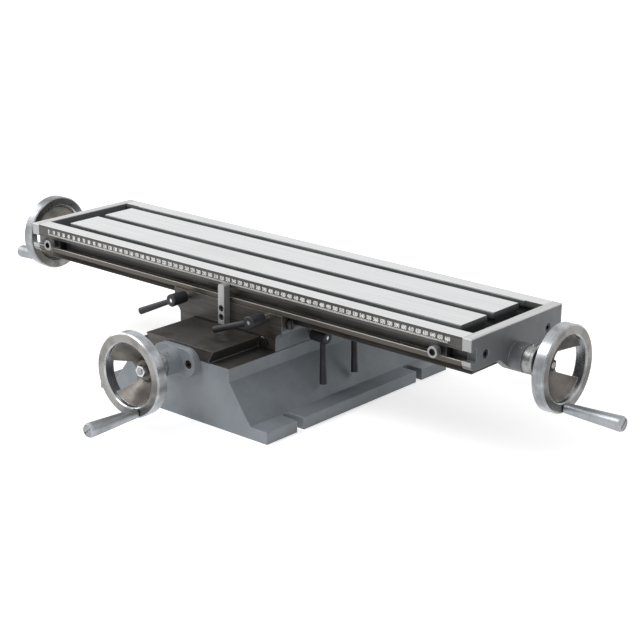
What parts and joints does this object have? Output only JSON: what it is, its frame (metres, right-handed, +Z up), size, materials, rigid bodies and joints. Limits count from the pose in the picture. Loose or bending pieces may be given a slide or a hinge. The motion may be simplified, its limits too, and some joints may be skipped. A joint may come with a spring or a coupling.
{
  "type": "cross slide table",
  "caption": "compound cross slide table: a long T-slotted table on a dovetail saddle and a flanged base, moved by handwheels on lead screws",
  "frame": {"origin": "middle of the underside of the base", "axes": "+X to the right along the table, +Y away from the operator along the base, +Z up"},
  "size_m": [1.009, 0.507, 0.168],
  "materials": {
    "base_paint": "satin blue-grey machine enamel",
    "saddle_iron": "scraped and oiled grey iron with painted sides",
    "table_iron": "ground top, dark oiled sides",
    "bracket_paint": "satin grey enamel",
    "black_steel": "black oxide",
    "bright_steel": "turned steel",
    "ground_steel": "ground steel",
    "bronze": "turned bronze",
    "satin_dial": null,
    "polished_aluminium": "turned and polished",
    "lever_black": "black textured enamel on zinc",
    "scale_black": "black strip with white graduations"
  },
  "bodies": {
    "base": {"base_casting": "base_paint", "y_screw_bracket": "base_paint", "y_bracket_bolts": "black_steel", "y_bush": "bronze", "y_bracket_oiler": "bright_steel"},
    "y_crank": {"y_leadscrew": "bright_steel", "y_dial": "satin_dial", "y_dial_screw": "bright_steel", "y_handwheel": "polished_aluminium", "y_wheel_nut": "bright_steel", "y_handle_spindle": "bright_steel"},
    "y_grip": {"y_handle_grip": "polished_aluminium"},
    "saddle": {"saddle_casting": "saddle_iron", "y_gib": "ground_steel", "y_gib_screws": "bright_steel", "x_gib": "ground_steel", "x_gib_screws": "black_steel", "x_nut": "bronze", "x_nut_screws": "bright_steel", "y_nut": "bronze", "y_nut_screws": "bright_steel", "stop_block": "ground_steel", "stop_block_screws": "bright_steel"},
    "x_lever_left": {"x_lock_lever_left": "lever_black", "x_lock_stud_left": "bright_steel"},
    "x_lever_right": {"x_lock_lever_right": "lever_black", "x_lock_stud_right": "bright_steel"},
    "y_lever_front": {"y_lock_lever_front": "lever_black", "y_lock_stud_front": "bright_steel"},
    "y_lever_back": {"y_lock_lever_back": "lever_black", "y_lock_stud_back": "bright_steel"},
    "table": {"table_plate": "table_iron", "scale_strip": "scale_black", "end_bracket_left": "bracket_paint", "end_bracket_right": "bracket_paint", "bracket_bolts_left": "black_steel", "bracket_bolts_right": "black_steel", "x_bush_left": "bronze", "x_bush_right": "bronze", "bracket_oiler_left": "bright_steel", "bracket_oiler_right": "bright_steel"},
    "stop_dog_left": {"stop_nut_left": "ground_steel", "stop_spacer_left": "black_steel", "stop_screw_left": "bright_steel"},
    "stop_dog_right": {"stop_nut_right": "ground_steel", "stop_spacer_right": "black_steel", "stop_screw_right": "bright_steel"},
    "x_crank": {"x_leadscrew": "bright_steel", "x_dial_right": "satin_dial", "x_dial_left": "satin_dial", "x_dial_screw_right": "bright_steel", "x_dial_screw_left": "bright_steel", "x_handwheel_right": "polished_aluminium", "x_handwheel_left": "polished_aluminium", "x_wheel_nut_right": "black_steel", "x_wheel_nut_left": "black_steel", "x_handle_spindle_right": "bright_steel", "x_handle_spindle_left": "bright_steel"},
    "x_grip_right": {"x_handle_grip_right": "polished_aluminium"},
    "x_grip_left": {"x_handle_grip_left": "polished_aluminium"}
  },
  "joints": [
    {"name": "y_crank_turn", "type": "hinge", "parent": "base", "child": "y_crank", "pos_m": [0, -0.207, 0.073], "axis": [0, 1, 0], "range_deg": [-7876, 7876]},
    {"name": "saddle_slide", "type": "slide", "parent": "base", "child": "saddle", "axis": [0, 1, 0], "range_m": [-0.0875, 0.0875]},
    {"name": "y_grip_spin", "type": "hinge", "parent": "y_crank", "child": "y_grip", "pos_m": [0.01308, -0.2585, 0.0302], "axis": [0, -1, 0], "continuous": true},
    {"name": "table_slide", "type": "slide", "parent": "saddle", "child": "table", "axis": [1, 0, 0], "range_m": [-0.24, 0.24]},
    {"name": "x_crank_turn", "type": "hinge", "parent": "table", "child": "x_crank", "pos_m": [0.3785, 0, 0.117], "axis": [1, 0, 0], "range_deg": [-21601, 21601]},
    {"name": "x_grip_right_spin", "type": "hinge", "parent": "x_crank", "child": "x_grip_right", "pos_m": [0.43, -0.00156, 0.07228], "axis": [1, 0, 0], "continuous": true},
    {"name": "x_grip_left_spin", "type": "hinge", "parent": "x_crank", "child": "x_grip_left", "pos_m": [-0.43, 0.0039, 0.07242], "axis": [-1, 0, 0], "continuous": true},
    {"name": "x_lever_left_turn", "type": "hinge", "parent": "saddle", "child": "x_lever_left", "pos_m": [-0.065, -0.092, 0.119], "axis": [0, -1, 0], "range_deg": [-45, 30]},
    {"name": "x_lever_right_turn", "type": "hinge", "parent": "saddle", "child": "x_lever_right", "pos_m": [0.065, -0.092, 0.119], "axis": [0, -1, 0], "range_deg": [-60, 0]},
    {"name": "y_lever_front_turn", "type": "hinge", "parent": "saddle", "child": "y_lever_front", "pos_m": [0.08, -0.03, 0.087], "axis": [1, 0, 0], "range_deg": [-30, 20]},
    {"name": "y_lever_back_turn", "type": "hinge", "parent": "saddle", "child": "y_lever_back", "pos_m": [0.08, 0.03, 0.087], "axis": [1, 0, 0], "range_deg": [-30, 20]},
    {"name": "stop_dog_left_slide", "type": "slide", "parent": "table", "child": "stop_dog_left", "axis": [1, 0, 0], "range_m": [-0.018, 0.065]},
    {"name": "stop_dog_right_slide", "type": "slide", "parent": "table", "child": "stop_dog_right", "axis": [-1, 0, 0], "range_m": [-0.018, 0.065]}
  ],
  "couplings": [
    {"joint": "y_crank_turn", "follows": "saddle_slide", "rad_per_m": 1570.8},
    {"joint": "x_crank_turn", "follows": "table_slide", "rad_per_m": 1570.8}
  ]
}
